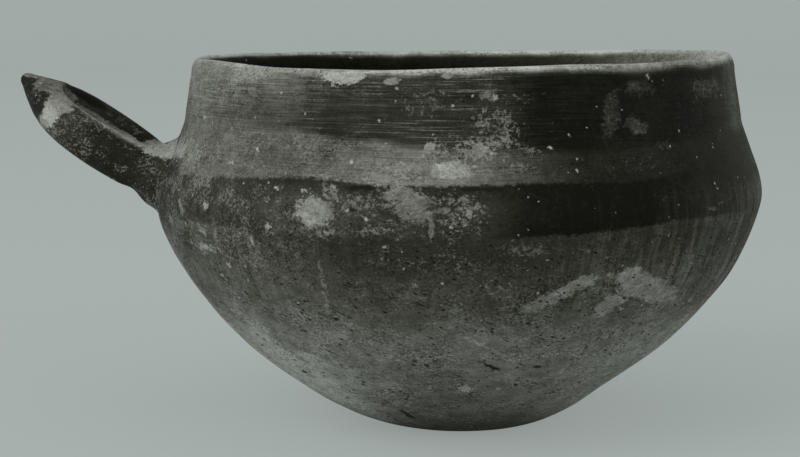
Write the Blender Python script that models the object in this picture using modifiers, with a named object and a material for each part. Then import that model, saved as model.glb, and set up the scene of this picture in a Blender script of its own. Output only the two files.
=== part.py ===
"""A hand-built pottery bowl with a round bottom, an upright neck and a raised loop handle that ends in a point.

The bowl is modelled as the clay members that a potter joins before firing: a base pad, the wall in three bands,
a lip coil, two handle arms whose tenons go through holes in the shoulder, the pinched point that closes the loop,
the luting clay packed round the roots, the web between them, and the pads that cover the tenons inside.

Metres, +Z up. The origin is the centre of the small flat under the base, and the handle points along -X.
"""

import math

import bmesh
import bpy
from mathutils import Matrix, Vector

MM = 0.001

# Outline of the outer wall, from the base up
BASE_FLAT_RADIUS = 13 * MM
BELLY_RADIUS = 93.5 * MM
BELLY_HEIGHT = 70 * MM
NECK_RADIUS = 85.9 * MM
SHOULDER_RISE = 29 * MM  # from the belly to the narrowest part of the neck
NECK_RISE = 11.4 * MM  # from there to the foot of the lip's rounding
RIM_RADIUS = 84.2 * MM
LIP_HEIGHT = 4.5 * MM  # of the rounding on top of the lip coil

# The sweep from the base flat to the belly, as shares of the way out and of the way up
LOWER_SWEEP = ((0, 0), (0.15, 0.02), (0.3, 0.09), (0.465, 0.215), (0.665, 0.39), (0.835, 0.6), (0.955, 0.81))
# The sweep from the belly to the neck, as shares of the way out and of the way up
SHOULDER_SWEEP = ((1, 0), (0.83, 0.32), (0.42, 0.61), (0.08, 0.86), (0, 1))

# Thickness of the clay
WALL = 4.8 * MM
FLOOR = 7.5 * MM

# Seams between the bands, which slant up from the outer face to the inner one
PAD_SEAM = 2.4 * MM  # above the base flat
BELLY_SEAM = 7 * MM  # below the belly
NECK_SEAM = 4 * MM  # below the narrowest part of the neck
LIP_SEAM = 3.2 * MM  # below the foot of the lip's rounding
SEAM_LAP = 3.2 * MM  # how far a seam climbs through the wall
SEAM_GAP = 0.4 * MM  # measured along the wall, which leaves 0.3 mm between the slanted faces
CLEARANCE = 0.3 * MM  # between any other two members that touch

# How far the potter's hands left the wall from a true round
LEAN = 2.4 * MM  # the lower wall swells towards the handle
LEAN_END = 8 * MM  # above the belly, where the lean has died out
RIM_TILT = 0.8 * MM  # the side away from the handle stands higher
RIM_SAG = 0.8 * MM  # the front and the back dip between the two ends

# The loop handle, seen from the side
ROOT_RISE = 7 * MM  # from the belly to the arms' middle line at the wall
ROOT_SLOPE = math.radians(25.5)
ROOT_RUN = 27.5 * MM  # how far the handle's middle line leans on that slope before it steepens
TIP_REACH = 45.5 * MM  # from the wall to the point, level
TIP_RISE = 30.2 * MM
ARM_HEIGHT_AT_ROOT = 15.4 * MM
ARM_HEIGHT_AT_POINT = 13 * MM

# The loop handle, seen from above
ROOT_SPREAD = 13 * MM  # half the distance between the two roots
ROOT_TWIST = 1.2 * MM  # the front root sits this much above the middle line, and the back root as much below
LOOP_SPREAD = 18 * MM  # half the distance between the arms halfway out
ARM_WIDTH = 9.6 * MM
POINT_LENGTH = 11.5 * MM  # from the middle of the arch to the point
POINT_WIDTH = 30 * MM
POINT_HEIGHT = 16.5 * MM
POINT_END = 4.2 * MM  # thickness of the rounded end
POINT_JOINT = 8 * MM  # from the middle of the arch back to the joint with the arms

# Joints of the handle
TENON_SHOULDER = 0.6 * MM  # how far an arm steps out around its tenon
LUTING_REACH = 9 * MM  # how far the luting runs out along each arm
LUTING_SPREAD = 2.6 * MM  # how far it spreads on the wall beyond the arm
LUTING_SKIN = 0.9 * MM  # its thickness where it ends on the arm
WEB_REACH = 6.5 * MM
WEB_HEIGHT = 22 * MM
WEB_END_HEIGHT = 14 * MM
WEB_SIDE = 1.2 * MM  # luting left between an arm's inner face and the web
CAP_RADIUS = 8 * MM
CAP_THICKNESS = 2 * MM

# Fineness of the faceted surfaces
SEGMENTS = 56
ARM_SIDES = 16
ARM_STEPS = 32
EXTRA = 8 * MM  # how far a cutter or a hidden end runs past what it cuts

# Colours as the photograph shows them, linear
SLIP = (0.032, 0.032, 0.027)
WORN_SLIP = (0.085, 0.087, 0.078)
BARE_CLAY = (0.16, 0.165, 0.15)
PALE_CLAY = (0.3, 0.31, 0.29)

# Heights that follow from the sizes
NECK_HEIGHT = BELLY_HEIGHT + SHOULDER_RISE
LIP_FOOT = NECK_HEIGHT + NECK_RISE
HEIGHT = LIP_FOOT + LIP_HEIGHT
TENON_RADIUS = ARM_WIDTH / 2 - TENON_SHOULDER
ACROSS = Vector((0, 1, 0))
UPWARD = Vector((0, 0, 1))


# Scene and helpers
def clear_scene():
    for old in list(bpy.data.objects):
        bpy.data.objects.remove(old)


def new_collection(name):
    made = bpy.data.collections.new(name)
    bpy.context.scene.collection.children.link(made)
    return made


def clay_material(name, colour, roughness):
    material = bpy.data.materials.new(name)
    material.use_nodes = True
    shader = material.node_tree.nodes["Principled BSDF"]
    shader.inputs["Base Color"].default_value = (*colour, 1)
    shader.inputs["Roughness"].default_value = roughness
    shader.inputs["Metallic"].default_value = 0
    return material


def add_object(name, mesh, collection):
    made = bpy.data.objects.new(name, mesh)
    collection.objects.link(made)
    return made


def from_builder(name, builder, collection):
    mesh = bpy.data.meshes.new(name)
    builder.to_mesh(mesh)
    builder.free()
    return add_object(name, mesh, collection)


def bake(made):
    """Replaces an object's mesh by its evaluated one, so that vertices can be moved afterwards."""
    bpy.context.view_layer.update()
    seen = made.evaluated_get(bpy.context.evaluated_depsgraph_get())
    mesh = bpy.data.meshes.new_from_object(seen)
    made.modifiers.clear()
    made.data = mesh
    return made


def combine(made, other, operation):
    """Cuts, joins or intersects with another object, and bakes the result."""
    modifier = made.modifiers.new(operation.lower(), "BOOLEAN")
    modifier.operation = operation
    modifier.solver = "EXACT"
    modifier.object = other
    return bake(made)


def turned(name, profile, closed, collection):
    """A solid turned round Z from (radius, height) points that run out along the top and down the outer side."""
    mesh = bpy.data.meshes.new(name)
    points = [(radius, 0, height) for radius, height in profile]
    last = len(points)
    edges = [(i, (i + 1) % last) for i in range(last if closed else last - 1)]
    mesh.from_pydata(points, edges, [])
    made = add_object(name, mesh, collection)
    screw = made.modifiers.new("turn", "SCREW")
    screw.steps = SEGMENTS
    screw.render_steps = SEGMENTS
    screw.use_merge_vertices = True
    screw.merge_threshold = 0.00005
    return bake(made)


def oval(centre, across, up, half_width, half_height):
    angles = [2 * math.pi * i / ARM_SIDES for i in range(ARM_SIDES)]
    return [centre + half_width * math.cos(a) * across + half_height * math.sin(a) * up for a in angles]


def lofted(name, rings, collection):
    """A closed solid through rings of equal point count, with a flat cap on each end."""
    builder = bmesh.new()
    loops = []
    for ring in rings:
        vertices = [builder.verts.new(point) for point in ring]
        loops.append([builder.edges.new((a, b)) for a, b in zip(vertices, vertices[1:] + vertices[:1])])
    for first, second in zip(loops, loops[1:]):
        bmesh.ops.bridge_loops(builder, edges=first + second)
    for end in (loops[0], loops[-1]):
        bmesh.ops.contextual_create(builder, geom=end)
    bmesh.ops.recalc_face_normals(builder, faces=builder.faces)
    return from_builder(name, builder, collection)


def spaced(first, last, count):
    return [first + (last - first) * i / (count - 1) for i in range(count)]


# Outline of the wall
def outline_knots():
    lower = [
        (BASE_FLAT_RADIUS + out * (BELLY_RADIUS - BASE_FLAT_RADIUS), up * BELLY_HEIGHT)
        for out, up in LOWER_SWEEP
    ]
    shoulder = [
        (NECK_RADIUS + out * (BELLY_RADIUS - NECK_RADIUS), BELLY_HEIGHT + up * SHOULDER_RISE)
        for out, up in SHOULDER_SWEEP
    ]
    return [Vector(knot) for knot in lower + shoulder + [(RIM_RADIUS, LIP_FOOT)]]


KNOTS = outline_knots()
LAST_STATION = len(KNOTS) - 1


def outline_at(station):
    """The (radius, height) on the outer face at a station, counted in knots from the base flat."""
    index = min(max(int(station), 0), LAST_STATION - 1)
    share = station - index
    a = KNOTS[index - 1] if index > 0 else 2 * KNOTS[0] - KNOTS[1]
    b = KNOTS[index]
    c = KNOTS[index + 1]
    d = KNOTS[index + 2] if index + 2 <= LAST_STATION else 2 * KNOTS[-1] - KNOTS[-2]
    return 0.5 * (
        2 * b + (c - a) * share + (2 * a - 5 * b + 4 * c - d) * share**2 + (3 * b - a - 3 * c + d) * share**3
    )


def slope_at(station):
    """The outline's derivative by station."""
    step = 0.01
    return (outline_at(station + step) - outline_at(station - step)) / (2 * step)


def station_at(height):
    """The station whose point on the outer face has this height."""
    low, high = 0.0, float(LAST_STATION)
    while high - low > 1e-6:
        middle = (low + high) / 2
        if outline_at(middle).y < height:
            low = middle
        else:
            high = middle
    return (low + high) / 2


def moved_along(station, distance):
    return station + distance / slope_at(station).length


def thickness_at(station):
    """The wall thins from the floor's thickness at the base flat to its own at the belly."""
    rise = min(max(outline_at(station).y / BELLY_HEIGHT, 0), 1)
    return WALL + (FLOOR - WALL) * (1 - rise) ** 2


def facing_at(station):
    """The outline's direction up the wall and the one straight out of it, as (radius, height)."""
    run = slope_at(station).normalized()
    return run, Vector((run.y, -run.x))


def outside_at(station, distance):
    """The point at a distance outside the outer face."""
    return outline_at(station) + distance * facing_at(station)[1]


def inside_at(station, distance):
    """The point at a distance inside the inner face, on the line from the outer face to the middle of the neck."""
    point = outline_at(station)
    inward = (Vector((0, NECK_HEIGHT)) - point).normalized()
    square = -inward.dot(facing_at(station)[1])
    return point + (thickness_at(station) + distance) / square * inward


def inner_station_at(height):
    """The station whose point on the inner face has this height."""
    low, high = 0.0, float(LAST_STATION)
    while high - low > 1e-6:
        middle = (low + high) / 2
        if inside_at(middle, 0).y < height:
            low = middle
        else:
            high = middle
    return (low + high) / 2


def on_side(direction, flat):
    """A (radius, height) direction as it stands on the side of the bowl that a level direction points to."""
    return direction.x * flat + direction.y * UPWARD


def hand_shaped(made):
    """Moves each vertex as the potter's hands left it: the lower wall leans and the rim is not quite level."""
    for vertex in made.data.vertices:
        x, y, z = vertex.co
        up = min(max(z / (BELLY_HEIGHT + LEAN_END), 0), 1)
        swell = math.sin(math.pi * up**0.6)
        ramp = min(max((z - NECK_HEIGHT) / (HEIGHT - NECK_HEIGHT), 0), 1) ** 2
        angle = math.atan2(y, x)
        lift = RIM_TILT * math.cos(angle) + RIM_SAG * math.cos(2 * angle)
        vertex.co = (x - LEAN * swell, y, z + ramp * lift)
    return made


# Bands of the wall
def band_profile(low_height, high_height, rows):
    """Cross-section of a band between two seams, each climbing towards the inside."""
    low = moved_along(station_at(low_height), SEAM_GAP / 2)
    high = moved_along(station_at(high_height), -SEAM_GAP / 2)
    outer = [outline_at(s) for s in spaced(high, low, rows)]
    inner = [inside_at(s, 0) for s in spaced(moved_along(low, SEAM_LAP), moved_along(high, SEAM_LAP), rows)]
    return outer + inner


def base_pad(collection):
    """The disc that the bowl is built up from, with the flat that it stands on."""
    edge = moved_along(station_at(PAD_SEAM), -SEAM_GAP / 2)
    rows = 4
    inner = [inside_at(s, 0) for s in spaced(0, moved_along(edge, SEAM_LAP), rows)]
    outer = [outline_at(s) for s in spaced(edge, 0, rows)]
    return turned("base_pad", [(0, FLOOR)] + inner + outer + [(0, 0)], False, collection)


def lower_bowl(collection):
    return turned("lower_bowl", band_profile(PAD_SEAM, BELLY_HEIGHT - BELLY_SEAM, 13), True, collection)


def shoulder_band(collection, cutters):
    """The band that carries the handle, with a hole for each tenon."""
    low = BELLY_HEIGHT - BELLY_SEAM
    high = NECK_HEIGHT - NECK_SEAM
    band = turned("shoulder_band", band_profile(low, high, 9), True, collection)
    for side in (-1, 1):
        combine(band, tenon(f"tenon_hole_{side}", side, CLEARANCE, cutters), "DIFFERENCE")
    return band


def neck_band(collection):
    profile = band_profile(NECK_HEIGHT - NECK_SEAM, LIP_FOOT - LIP_SEAM, 4)
    return turned("neck_band", profile, True, collection)


def lip_coil(collection):
    """The coil that finishes the rim, rounded on top by the fingers."""
    low = moved_along(station_at(LIP_FOOT - LIP_SEAM), SEAM_GAP / 2)
    inner_foot = inside_at(moved_along(low, SEAM_LAP), 0)
    inner_spring = inside_at(LAST_STATION, 0)
    centre = (RIM_RADIUS + inner_spring.x) / 2
    half = (RIM_RADIUS - inner_spring.x) / 2
    arc = [
        (centre + half * math.cos(a), LIP_FOOT + LIP_HEIGHT * math.sin(a)) for a in spaced(math.pi, 0, 11)
    ]
    outer = [outline_at(s) for s in spaced(LAST_STATION, low, 3)][1:]
    return turned("lip_coil", [inner_foot] + arc + outer, True, collection)


def wall_envelope(name, collection):
    """All that lies inside the outer face, and a clearance more: it cuts the pieces that are laid on the wall."""
    outer = [outside_at(s, CLEARANCE) for s in spaced(LAST_STATION, 0, 5 * LAST_STATION + 1)]
    return turned(name, [(0, HEIGHT)] + outer + [(0, -CLEARANCE)], False, collection)


def cavity(name, shrink, collection):
    """The space inside the wall, shrunk by a clearance."""
    inner = [inside_at(s, shrink) for s in spaced(LAST_STATION, 0, 5 * LAST_STATION + 1)]
    return turned(name, [(0, HEIGHT)] + inner + [(0, FLOOR + shrink)], False, collection)


# Path of the handle
def root_point():
    height = BELLY_HEIGHT + ROOT_RISE
    return Vector((-outline_at(station_at(height)).x, 0, height))


def spine_at(share):
    """The handle's middle line in the XZ plane, from the wall at 0 to the point at 1."""
    root = root_point()
    bend = root + ROOT_RUN * Vector((-math.cos(ROOT_SLOPE), 0, math.sin(ROOT_SLOPE)))
    tip = root + Vector((-TIP_REACH, 0, TIP_RISE))
    return (1 - share) ** 2 * root + 2 * (1 - share) * share * bend + share**2 * tip


def spine_run(share):
    step = 0.01
    return (spine_at(share + step) - spine_at(share - step)).normalized()


def spine_up(share):
    return spine_run(share).cross(ACROSS)


def spine_length():
    points = [spine_at(share) for share in spaced(0, 1, 21)]
    return sum((b - a).length for a, b in zip(points, points[1:]))


ARCH_SHARE = 1 - POINT_LENGTH / spine_length()
JOINT_SHARE = ARCH_SHARE - POINT_JOINT / spine_length()


def loop_at(turn):
    """The loop's middle line, from the front root at -1 over the arch at 0 to the back root at 1."""
    half_way = math.sqrt(0.5)
    bulge = (LOOP_SPREAD / half_way - ROOT_SPREAD) / (1 - half_way**2)
    share = ARCH_SHARE * (1 - turn**2)
    spread = turn * (ROOT_SPREAD + bulge * (1 - turn**2))
    return spine_at(share) + spread * ACROSS - ROOT_TWIST * turn**3 * UPWARD, share


def loop_run(turn):
    """The loop's derivative by turn."""
    step = 0.01
    return (loop_at(turn + step)[0] - loop_at(turn - step)[0]) / (2 * step)


def arm_ring(turn, grow):
    """The oval section of the loop at a turn, grown by a clearance."""
    centre, share = loop_at(turn)
    up = spine_up(share)
    across = loop_run(turn).cross(up).normalized()
    height = ARM_HEIGHT_AT_ROOT + (ARM_HEIGHT_AT_POINT - ARM_HEIGHT_AT_ROOT) * share
    return oval(centre, across, up, ARM_WIDTH / 2 + grow, height / 2 + grow)


def root_axis(side):
    """Where a tenon's axis meets the wall, and its direction out of the bowl."""
    return loop_at(side)[0], -side * loop_run(side).normalized()


def root_ring(side, grow, depth):
    """The arm's section at its root, pushed back into the wall."""
    run = root_axis(side)[1]
    return [point - depth * run for point in arm_ring(side, grow)]


# Members of the handle
def loop_bar(name, grow, collection):
    """The whole loop as one bent bar, with both ends run on into the wall."""
    rings = [root_ring(-1, grow, 2 * EXTRA)]
    rings += [arm_ring(turn, grow) for turn in spaced(-1, 1, ARM_STEPS + 1)]
    rings.append(root_ring(1, grow, 2 * EXTRA))
    return lofted(name, rings, collection)


def horn(name, collection):
    """The pinched point: a flattened cone from the arch to a rounded end."""
    start = (ARCH_SHARE + JOINT_SHARE) / 2
    rings = []
    for step in spaced(0, 1, 7):
        share = start + (1 - start) * step
        width = POINT_WIDTH + (POINT_END - POINT_WIDTH) * step
        height = POINT_HEIGHT + (POINT_END - POINT_HEIGHT) * step
        rings.append(oval(spine_at(share), ACROSS, spine_up(share), width / 2, height / 2))
    for bend in (math.radians(40), math.radians(70)):
        centre = spine_at(1) + spine_run(1) * POINT_END / 2 * math.sin(bend)
        radius = POINT_END / 2 * math.cos(bend)
        rings.append(oval(centre, ACROSS, spine_up(1), radius, radius))
    return lofted(name, rings, collection)


def tenon(name, side, grow, collection):
    """The peg on an arm's end, long enough to be cut flush with the inside of the wall."""
    start, run = root_axis(side)
    length = 3 * EXTRA
    place = Matrix.Translation(start + (EXTRA - length / 2) * run) @ run.to_track_quat("Z", "Y").to_matrix().to_4x4()
    builder = bmesh.new()
    bmesh.ops.create_cone(
        builder,
        cap_ends=True,
        segments=ARM_SIDES,
        radius1=TENON_RADIUS + grow,
        radius2=TENON_RADIUS + grow,
        depth=length,
        matrix=place,
    )
    return from_builder(name, builder, collection)


def block(name, corner, x_axis, y_axis, z_axis, collection):
    """A large box that lies on the plane through a corner point, on the side that z_axis points to."""
    size = 2 * (BELLY_RADIUS + TIP_REACH + TIP_RISE)
    turn = Matrix((x_axis, y_axis, z_axis)).transposed().to_4x4()
    place = Matrix.Translation(corner + z_axis * size / 2) @ turn @ Matrix.Scale(size, 4)
    builder = bmesh.new()
    bmesh.ops.create_cube(builder, size=1, matrix=place)
    bmesh.ops.recalc_face_normals(builder, faces=builder.faces)
    return from_builder(name, builder, collection)


def joint_block(name, outward, collection):
    """What lies past the joint between the arms and the point, and half a clearance more."""
    run = spine_run(JOINT_SHARE)
    face = spine_at(JOINT_SHARE) - run * outward * CLEARANCE / 2
    return block(name, face, ACROSS, spine_up(JOINT_SHARE), run * outward, collection)


def side_block(name, side, collection):
    """Everything on one side of the handle's middle plane."""
    return block(name, root_point(), Vector((1, 0, 0)), UPWARD, side * ACROSS, collection)


def handle_point(collection, cutters):
    """The arch and the point beyond it, pinched from one lump."""
    made = loop_bar("handle_point", 0, collection)
    combine(made, horn("horn", cutters), "UNION")
    return combine(made, joint_block("below_joint", -1, cutters), "DIFFERENCE")


def handle_arm(name, side, collection, cutters):
    """An arm from the joint with the point to the wall, with its tenon through the wall."""
    made = loop_bar(name, 0, collection)
    combine(made, side_block(name + "_side", side, cutters), "INTERSECT")
    combine(made, joint_block(name + "_beyond", 1, cutters), "DIFFERENCE")
    combine(made, wall_envelope(name + "_wall", cutters), "DIFFERENCE")
    combine(made, tenon(name + "_tenon", side, 0, cutters), "UNION")
    return combine(made, cavity(name + "_cavity", 0, cutters), "DIFFERENCE")


def luting_form(name, side, grow, collection):
    """A root with the clay pressed round it: thick on the wall, feathered along the arm."""
    turn_per_length = 1 / loop_run(side).length
    rings = [root_ring(side, LUTING_SPREAD + grow, EXTRA)]
    for step in spaced(0, 1, 7):
        feather = (1 - math.sin(step * math.pi / 2)) ** 1.2
        swell = LUTING_SKIN + (LUTING_SPREAD - LUTING_SKIN) * feather + grow
        turn = side * (1 - step * LUTING_REACH * turn_per_length)
        rings.append(arm_ring(turn, swell))
    return lofted(name, rings, collection)


def luting(name, side, collection, cutters):
    made = luting_form(name, side, 0, collection)
    combine(made, loop_bar(name + "_bar", CLEARANCE, cutters), "DIFFERENCE")
    combine(made, wall_envelope(name + "_wall", cutters), "DIFFERENCE")
    web_end = block(
        name + "_web", side * web_reach_across(CLEARANCE / 2), Vector((1, 0, 0)), UPWARD, -side * ACROSS, cutters
    )
    return combine(made, web_end, "DIFFERENCE")


def web_reach_across(grow):
    """How far from the handle's middle plane the web meets the luting, as a vector."""
    return (ROOT_SPREAD - ARM_WIDTH / 2 - WEB_SIDE + grow) * ACROSS


def saddle_web(collection, cutters):
    """The pad between the two roots, which forms the inner end of the finger hole."""
    up_wall, outward = (on_side(d, Vector((-1, 0, 0))) for d in facing_at(station_at(root_point().z)))
    rings = []
    for step in spaced(-1, 1, 7):
        centre = root_point() + step * web_reach_across(-CLEARANCE / 2) - step * ROOT_TWIST * UPWARD
        height = WEB_HEIGHT + (WEB_END_HEIGHT - WEB_HEIGHT) * step**2
        rings.append(oval(centre, outward, up_wall, WEB_REACH, height / 2))
    made = lofted("saddle_web", rings, collection)
    return combine(made, wall_envelope("web_wall", cutters), "DIFFERENCE")


def tenon_cap(name, side, collection, cutters):
    """The pad smeared over a tenon's end inside the bowl."""
    start, run = root_axis(side)
    centre = start - WALL * run
    for _ in range(8):
        station = inner_station_at(centre.z)
        beyond = Vector((centre.x, centre.y)).length - inside_at(station, 0).x
        centre -= beyond * run
    flat = Vector((centre.x, centre.y, 0)).normalized()
    step = 0.05
    up_wall = on_side((inside_at(station + step, 0) - inside_at(station - step, 0)).normalized(), flat)
    along = UPWARD.cross(flat)
    turn = Matrix((along, up_wall, along.cross(up_wall))).transposed().to_4x4()
    shape = Matrix.Diagonal((CAP_RADIUS, CAP_RADIUS, CAP_THICKNESS, 1))
    builder = bmesh.new()
    bmesh.ops.create_uvsphere(
        builder, u_segments=18, v_segments=10, radius=1, matrix=Matrix.Translation(centre) @ turn @ shape
    )
    bmesh.ops.recalc_face_normals(builder, faces=builder.faces)
    made = from_builder(name, builder, collection)
    return combine(made, cavity(name + "_cavity", CLEARANCE, cutters), "INTERSECT")


def paint(made, material):
    made.data.materials.clear()
    made.data.materials.append(material)
    made.data.shade_smooth()
    made.data.set_sharp_from_angle(angle=math.radians(40))


def build():
    clear_scene()
    parts = new_collection("handled_bowl")
    cutters = new_collection("cutters")
    slip = clay_material("burnished dark slip", SLIP, 0.5)
    worn = clay_material("worn slip", WORN_SLIP, 0.65)
    bare = clay_material("bare fired clay", BARE_CLAY, 0.8)
    pale = clay_material("pale worn clay", PALE_CLAY, 0.85)

    members = {
        base_pad(parts): bare,
        lower_bowl(parts): bare,
        shoulder_band(parts, cutters): slip,
        neck_band(parts): slip,
        lip_coil(parts): worn,
        handle_point(parts, cutters): slip,
        handle_arm("handle_arm_front", -1, parts, cutters): slip,
        handle_arm("handle_arm_back", 1, parts, cutters): slip,
        luting("luting_front", -1, parts, cutters): worn,
        luting("luting_back", 1, parts, cutters): worn,
        saddle_web(parts, cutters): pale,
        tenon_cap("tenon_cap_front", -1, parts, cutters): slip,
        tenon_cap("tenon_cap_back", 1, parts, cutters): slip,
    }
    for made, material in members.items():
        hand_shaped(made)
        paint(made, material)
    for cutter in cutters.objects:
        cutter.hide_render = True
        cutter.display_type = "WIRE"


build()
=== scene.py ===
# %% [markdown]
# # A hand-built bowl with a pointed loop handle
# The real bowl was built from bands of clay, coated with a dark slip, rubbed with a pebble and fired. The CAD
# frame holds its members as plain solids. This lesson makes them again with the unevenness, wear and surface
# of an old pot, and lights them as the photograph does.

# %% Load the frame
import math

import bpy
import numpy as np
from mathutils import Matrix, Vector, noise


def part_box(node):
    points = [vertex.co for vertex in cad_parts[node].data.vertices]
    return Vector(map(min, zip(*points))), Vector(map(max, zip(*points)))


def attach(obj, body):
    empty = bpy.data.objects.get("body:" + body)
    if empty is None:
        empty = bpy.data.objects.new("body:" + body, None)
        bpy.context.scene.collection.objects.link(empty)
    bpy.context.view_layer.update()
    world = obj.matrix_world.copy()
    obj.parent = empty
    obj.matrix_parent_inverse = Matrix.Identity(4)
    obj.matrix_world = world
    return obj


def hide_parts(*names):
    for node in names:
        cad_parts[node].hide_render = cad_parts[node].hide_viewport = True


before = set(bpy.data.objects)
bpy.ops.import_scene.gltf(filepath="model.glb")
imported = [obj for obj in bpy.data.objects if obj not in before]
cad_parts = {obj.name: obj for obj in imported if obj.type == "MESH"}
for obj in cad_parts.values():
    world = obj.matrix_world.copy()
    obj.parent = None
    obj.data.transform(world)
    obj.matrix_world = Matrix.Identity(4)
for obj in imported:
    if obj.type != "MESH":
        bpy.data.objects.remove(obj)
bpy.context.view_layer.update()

MM = 0.001
print("CAD nodes:", ", ".join(sorted(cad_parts)))

# %% [markdown]
# ## Camera
# A long lens stood a little above the rim, so the mouth's far edge shows over the near one. A nearer camera
# would open the mouth more than it shows.

# %% Place the camera
def to_mode(name):
    bpy.ops.object.mode_set(mode=name)


def edit(kind):
    """Edit mode, to pick vertices, edges or faces."""
    to_mode("EDIT")
    bpy.ops.mesh.select_mode(type=kind)


def named(name):
    """Names the object that was just made, and its mesh."""
    piece = bpy.context.object
    piece.name = name
    piece.data.name = name
    return piece


def pick_all():
    bpy.ops.mesh.select_all(action="SELECT")


def extrude(step):
    bpy.ops.mesh.extrude_region_move(TRANSFORM_OT_translate={"value": step})


def choose(*pieces):
    """Selects these objects alone and makes the last one active."""
    bpy.ops.object.select_all(action="DESELECT")
    for piece in pieces:
        piece.select_set(True)
        bpy.context.view_layer.objects.active = piece


CAMERA_PLACE = Vector((37.3, -649.2, 138.7)) * MM
CAMERA_AIM = Vector((-19.3, -1.7, 61.0)) * MM
LENS = 93.5

choose()
bpy.ops.object.camera_add(location=CAMERA_PLACE)
camera = named("camera")
camera.rotation_euler = (CAMERA_AIM - CAMERA_PLACE).to_track_quat("-Z", "Y").to_euler()
camera.data.lens = LENS
bpy.context.scene.camera = camera
print("camera is", round((CAMERA_AIM - CAMERA_PLACE).length / MM), "mm away")

# %% [markdown]
# ## Adding nodes
# One function adds a node, sets it and links it, so a finish reads like a recipe. Colours are written in hex,
# as the screen shows them, and turned to linear values.

# %% Helpers for finishes
def linear(hex_colour):
    """The linear red, green, blue and alpha of an sRGB hex colour."""
    shares = [int(hex_colour[i : i + 2], 16) / 255 for i in (1, 3, 5)]
    return [s / 12.92 if s <= 0.04045 else ((s + 0.055) / 1.055) ** 2.4 for s in shares] + [1]


def configure(thing, settings):
    for name, value in settings.items():
        setattr(thing, name, value)


def add(material, kind, links, output=0, **settings):
    """Adds a node, feeds its inputs and returns one of its outputs."""
    made = material.node_tree.nodes.new("ShaderNode" + kind)
    configure(made, settings)
    for socket, value in links.items():
        if isinstance(value, bpy.types.NodeSocket):
            material.node_tree.links.new(value, made.inputs[socket])
        else:
            made.inputs[socket].default_value = value
    return made.outputs[output]


def bare_material(name):
    """A material with an empty net but for its output."""
    material = bpy.data.materials.new(name)
    material.use_nodes = True
    material.node_tree.nodes.clear()
    return material, material.node_tree.nodes.new("ShaderNodeOutputMaterial")

# %% [markdown]
# ## Floor and light
# Matt grey paper that curves up behind the bowl gives a ground without a horizon, as in the photograph.

# %% Paper sweep
PAPER_SIZE = 8.0
PAPER_CURVE = 1.5
PAPER_GLOW = 0.65  # share of even colour in what the camera sees

paper, paper_output = bare_material("matt grey studio paper")
matt = {"Base Color": linear("#bac2bf"), "Roughness": 0.95, "Specular IOR Level": 0.1}
paper_shader = add(paper, "BsdfPrincipled", matt)
paper_glow = add(paper, "Emission", {"Color": linear("#a9b1ae")})
to_camera = add(paper, "LightPath", {}, "Is Camera Ray")
glow_share = add(paper, "Math", {0: to_camera, 1: PAPER_GLOW}, operation="MULTIPLY")
paper_look = add(paper, "MixShader", {0: glow_share, 1: paper_shader, 2: paper_glow})
paper.node_tree.links.new(paper_look, paper_output.inputs["Surface"])

choose()
bpy.ops.mesh.primitive_plane_add(size=PAPER_SIZE)
sweep = named("paper_sweep")


def pick_edges(rule):
    """Selects the sweep's edges with both ends where the rule holds."""
    to_mode("OBJECT")
    for edge in sweep.data.edges:
        edge.select = all(rule(sweep.data.vertices[v].co) for v in edge.vertices)
    to_mode("EDIT")


edit("EDGE")
bpy.ops.mesh.select_all(action="DESELECT")
pick_edges(lambda place: place.y > 0)
extrude((0, 0, PAPER_SIZE / 2))
pick_edges(lambda place: place.y > 0 and abs(place.z) < MM)
bpy.ops.mesh.bevel(offset=PAPER_CURVE, segments=24, affect="EDGES")
to_mode("OBJECT")
bpy.ops.object.shade_smooth()
sweep.data.materials.append(paper)
print("paper sweep has", len(sweep.data.polygons), "faces")

# %% Lamps
# A broad soft lamp stands in front, to the left and above, and the sky fills the rest evenly. Each lamp has
# its place, size and power.
SKY_STRENGTH = 0.72
LAMP_AIM = Vector((0, 0, 50)) * MM
LAMPS = {
    "broad_lamp_left": (Vector((-1.3, -1.7, 1.4)), 1.6, 26),
    "fill_lamp_right": (Vector((1.7, -1.5, 0.7)), 1.4, 10),
    "low_lamp_front": (Vector((-0.2, -2.2, 0.3)), 1.2, 14),
}

for name, (place, size, power) in LAMPS.items():
    bpy.ops.object.light_add(type="AREA", location=place)
    lamp = named(name)
    lamp.rotation_euler = (LAMP_AIM - place).to_track_quat("-Z", "Y").to_euler()
    lamp.data.size = size
    lamp.data.energy = power

sky = bpy.data.worlds.new("even_sky")
sky.use_nodes = True
background = sky.node_tree.nodes["Background"].inputs
background["Color"].default_value = linear("#e6e9ea")
background["Strength"].default_value = SKY_STRENGTH
bpy.context.scene.world = sky
bpy.context.scene.view_settings.view_transform = "Standard"
print("lamps:", ", ".join(LAMPS))

# %% [markdown]
# ## The wall's outline
# The wall runs from a small flat to stand on, over a rounded belly and a shoulder that draws in, to an
# upright neck. A smooth curve goes through the knots, and a station counts along them.

# %% Outline of the wall
BASE_FLAT_RADIUS = 13 * MM
BELLY_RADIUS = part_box("shoulder_band")[1].y
BELLY_HEIGHT = 70 * MM
NECK_RADIUS = 85.9 * MM
SHOULDER_RISE = 29 * MM
NECK_HEIGHT = BELLY_HEIGHT + SHOULDER_RISE
RIM_RADIUS = 84.2 * MM
LIP_FOOT = NECK_HEIGHT + 11.4 * MM
LIP_HEIGHT = 4.5 * MM
WALL = 4.8 * MM
FLOOR = 7.5 * MM
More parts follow.
